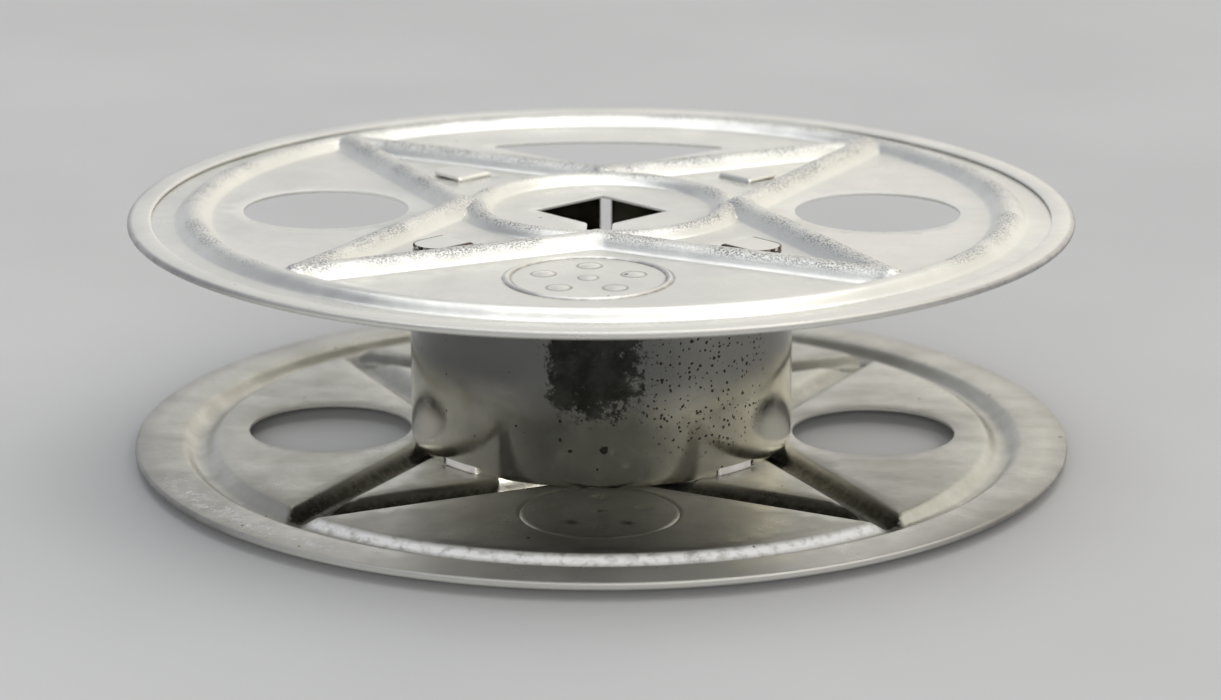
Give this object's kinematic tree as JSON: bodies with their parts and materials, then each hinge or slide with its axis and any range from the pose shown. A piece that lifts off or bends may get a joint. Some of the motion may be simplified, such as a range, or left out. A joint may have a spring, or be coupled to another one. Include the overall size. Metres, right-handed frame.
{
  "type": "film spool",
  "caption": "Sheet steel film spool: pressed flanges with star ribs, windows and a keyed square drive hole, on a rolled tab-locked core.",
  "frame": {"origin": "on the spool's axis, half way between the flanges", "axes": "+Z along the axis towards the upper flange; the drive holes' keyways are at -Y and the core's film gap is at +Y"},
  "size_m": [0.07, 0.07, 0.0192],
  "materials": {
    "upper_flange": "bright tinned sheet steel, worn and speckled along the pressed beads",
    "lower_flange": "tinned sheet steel, duller, with fine scuffs inside",
    "core_tube": "smooth rolled tinned steel with dark specks and stains"
  },
  "bodies": {
    "root": {"upper_flange": "upper_flange", "lower_flange": "lower_flange", "core_tube": "core_tube"}
  },
  "joints": []
}
